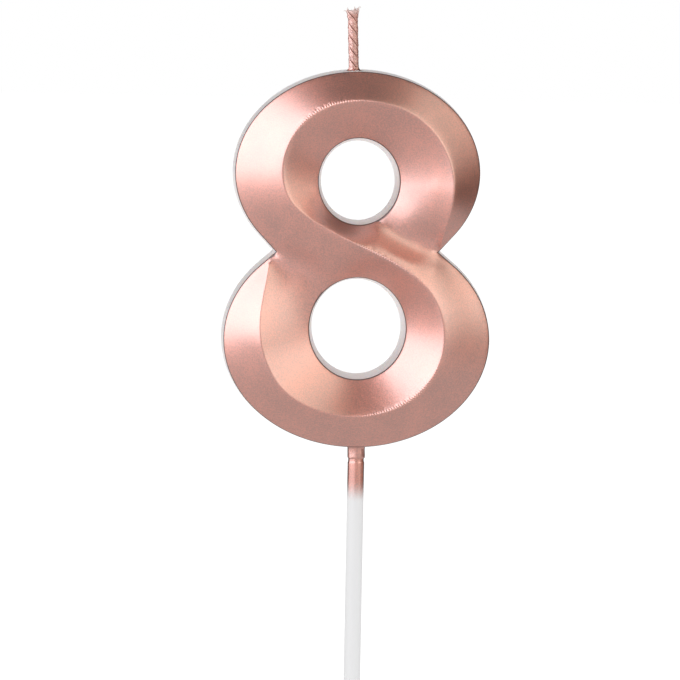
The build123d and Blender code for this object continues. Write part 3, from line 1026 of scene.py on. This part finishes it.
def spray(tree, shader, place, cover, dry_and_shade, under, normal, metal=PAINT_METAL):
    """Metallic rose-gold lacquer where cover is 1, and the bare material where it is 0. The mask after
    cover makes the lacquer dull and dark where it is 1: partly lacquer dust that dried in the air, partly
    painted shade along edges and on sides turned away from the front. Under is the bare material's colour
    and roughness."""
    under_colour, under_roughness = under
    flakes = grain(tree, place, FLAKE_SIZE, 3.0, 0.7)
    paint = blend_colour(tree, lacquer_tone(tree, flakes, place), PAINT_DEEP, PAINT_BRIGHT)
    paint = blend_colour(tree, dry_and_shade, paint, PAINT_DRY_AND_SHADE)
    rough = ramp(tree, flakes, 0.3, 0.75, *PAINT_ROUGHNESS)
    rough = calc(tree, "MULTIPLY_ADD", dry_and_shade, DRY_ROUGHNESS, rough)
    bare = calc(tree, "SUBTRACT", 1.0, cover)
    mixed = calc(tree, "MULTIPLY_ADD", bare, calc(tree, "SUBTRACT", under_roughness, rough), rough)
    wet = calc(tree, "MULTIPLY_ADD", dry_and_shade, DRY_COAT - 1, 1.0)
    tree.links.new(blend_colour(tree, cover, under_colour, paint), shader.inputs["Base Color"])
    metallic = calc(tree, "MULTIPLY_ADD", dry_and_shade, 1 - metal, metal)
    tree.links.new(calc(tree, "MULTIPLY", cover, metallic), shader.inputs["Metallic"])
    tree.links.new(calc(tree, "MULTIPLY", cover, wet), shader.inputs["Coat Weight"])
    tree.links.new(mixed, shader.inputs["Roughness"])
    tree.links.new(normal, shader.inputs["Normal"])
    shader.inputs["Coat Roughness"].default_value = 0.34
    shader.inputs["Coat IOR"].default_value = 2.8


def axes(tree, place):
    """A vector's X, Y and Z."""
    return node(tree, "ShaderNodeSeparateXYZ", {"Vector": place}).outputs


def cast_normal(tree, place):
    """The cutter's fine level lines, the lacquer's grain and the slow waves of cast wax."""
    lines = node(tree, "ShaderNodeVectorMath", {0: place, 1: (0.03, 1, 0.03)}, operation="MULTIPLY")
    normal = bump(tree, grain(tree, lines.outputs[0], 0.2, 2.0), 0.012)
    normal = bump(tree, grain(tree, place, 0.25, 3.0, 0.65), 0.06, normal)
    return bump(tree, grain(tree, place, 2.5, 2.0), 0.03, normal)


def lacquered_front():
    """The lacquer on the carved front, thinned along the sharp edges it draws back from, where a dark line
    of painted shade runs; surfaces turned away from the front are painted dark as shade too.
    """
    material, tree, shader = new_material("rose_gold_lacquer")
    place = tree.nodes.new("ShaderNodeTexCoord").outputs["Object"]
    y, z = axes(tree, place)[1:]
    front = (EDGE_Y - RIM_DEPTH) * MM
    low = (NUMERAL_AT[1] - LOWER_LOOP[1]) * MM
    top = (NUMERAL_AT[1] + UPPER_CENTRE[1] + UPPER_LOOP[1]) * MM
    # rim: a thin dark line of painted shade along the front edge, where the lacquer is also thinner.
    rim = ramp(tree, y, front, front + RIM_WIDTH * MM)
    rim = calc(tree, "MULTIPLY", rim, ramp(tree, z, low - 0.2 * MM, low))
    rim = calc(tree, "MULTIPLY", rim, ramp(tree, z, top + 0.05 * MM, top + 0.2 * MM, 1.0, 0.0))
    # Painted shade: the rim line and the surfaces turned away from the front get the dull dark lacquer
    # colour.
    dry_and_shade = calc(tree, "MAXIMUM", rim, turned_away(tree, 0.6, 0.2))
    thinned = calc(tree, "MULTIPLY_ADD", rim, -RIM_THINNING, 1.0)
    cover = calc(tree, "MULTIPLY", thinned, in_reach(tree))
    spray(tree, shader, place, cover, dry_and_shade, BARE_WAX, cast_normal(tree, place))
    shader.inputs["IOR"].default_value = 3.0
    return material


def misted_wax():
    """White wax behind the front edge, with a mist of lacquer that thins towards the back."""
    material, tree, shader = new_material("white_wax_misted")
    place = tree.nodes.new("ShaderNodeTexCoord").outputs["Object"]
    y = axes(tree, place)["Y"]
    speckle = grain(tree, place, 0.3, 3.0, 0.7)
    fade = ramp(tree, y, EDGE_Y * MM, BACK_Y * MM, MIST_AT_FRONT, MIST_AT_BACK)
    mist = calc(tree, "MULTIPLY", fade, ramp(tree, speckle, 0.3, 0.7))
    # edge: the lacquer wrapped onto the wall just behind the front edge, dull and dark there as painted
    # shade.
    edge = ramp(tree, y, (EDGE_Y + RIM_RADIUS) * MM, (EDGE_Y + OVERSPRAY_AND_SHADE_DEPTH) * MM, 0.9, 0.0)
    cover = calc(tree, "MAXIMUM", mist, edge)
    spray(tree, shader, place, cover, edge, BARE_WAX, cast_normal(tree, place))
    shader.inputs["Subsurface Weight"].default_value = 0.3
    shader.inputs["Subsurface Radius"].default_value = (1.0, 0.8, 0.65)
    shader.inputs["Subsurface Scale"].default_value = 1.5 * MM
    return material


def stick_plastic():
    """White moulded plastic, with the spray fading out a few millimetres below the shoulder."""
    material, tree, shader = new_material("white_plastic_sprayed_top")
    place = tree.nodes.new("ShaderNodeTexCoord").outputs["Object"]
    z = axes(tree, place)["Z"]
    speckle = grain(tree, place, 0.35, 3.0, 0.7)
    lowered = calc(tree, "SUBTRACT", z, FADE_RAGGEDNESS / 2 * MM)
    ragged = calc(tree, "MULTIPLY_ADD", speckle, FADE_RAGGEDNESS * MM, lowered)
    cover = calc(tree, "MULTIPLY", ramp(tree, ragged, FADE_END * MM, FADE_START * MM), in_reach(tree))
    drawn = node(tree, "ShaderNodeVectorMath", {0: place, 1: (1, 1, 0.06)}, operation="MULTIPLY")
    normal = bump(tree, grain(tree, drawn.outputs[0], 0.4, 2.0), 0.006)
    rough = bump(tree, grain(tree, place, 0.3, 3.0), 0.02, normal)
    # The stick's sides turned away from the front are painted dark as shade, and dull like lacquer dust
    # that dried in the air.
    dry_and_shade = turned_away(tree, 0.62, 0.3)
    spray(tree, shader, place, cover, dry_and_shade, BARE_PLASTIC, rough, THIN_PAINT_METAL)
    shader.inputs["Subsurface Weight"].default_value = 0.15
    shader.inputs["Subsurface Radius"].default_value = (1.0, 1.0, 1.0)
    shader.inputs["Subsurface Scale"].default_value = 0.6 * MM
    return material


def wick_cotton():
    """Waxed cotton under a broken film of the same lacquer, bare where the cut end has opened."""
    material, tree, shader = new_material("waxed_cotton_sprayed")
    place = tree.nodes.new("ShaderNodeTexCoord").outputs["Object"]
    z = axes(tree, place)["Z"]
    base, axis = wick_frame()
    top = (base + axis * (WICK_TOP - WICK_BOTTOM)).z
    patches = grain(tree, place, 0.45, 4.0, 0.75)
    gaps = ramp(tree, patches, 0.36, 0.6, 0.45, 0.0)
    low, high = (top - depth for depth in FRAY_THINNING)
    cut = ramp(tree, z, low * MM, high * MM, 0.8, 0.3)
    cover = calc(tree, "MULTIPLY", cut, in_reach(tree))
    # The gaps are dull dark specks in the broken film; the sides turned away from the front are painted
    # dark as shade.
    dry_and_shade = calc(tree, "MAXIMUM", gaps, turned_away(tree, 0.4, 0.1))
    normal = bump(tree, grain(tree, place, 0.16, 3.0, 0.7), 0.05)
    normal = bump(tree, grain(tree, place, 0.5, 2.0), 0.10, normal)
    spray(tree, shader, place, cover, dry_and_shade, BARE_COTTON, normal, THIN_PAINT_METAL)
    return material


# ======== the scene ========
set_studio()
finish_piece("numeral_wax", make_wax(), [lacquered_front(), misted_wax()], "painted_wax", "wax_body")
finish_piece("plastic_stick", make_stick(), [stick_plastic()], "stick_plastic", "stick")
cotton = [wick_cotton()]
for number in range(PLIES):
    name, node_name = f"wick_yarn_{number + 1}", f"wick_ply_{number + 1}"
    finish_piece(name, make_ply(number), cotton, "wick_cotton", node_name)
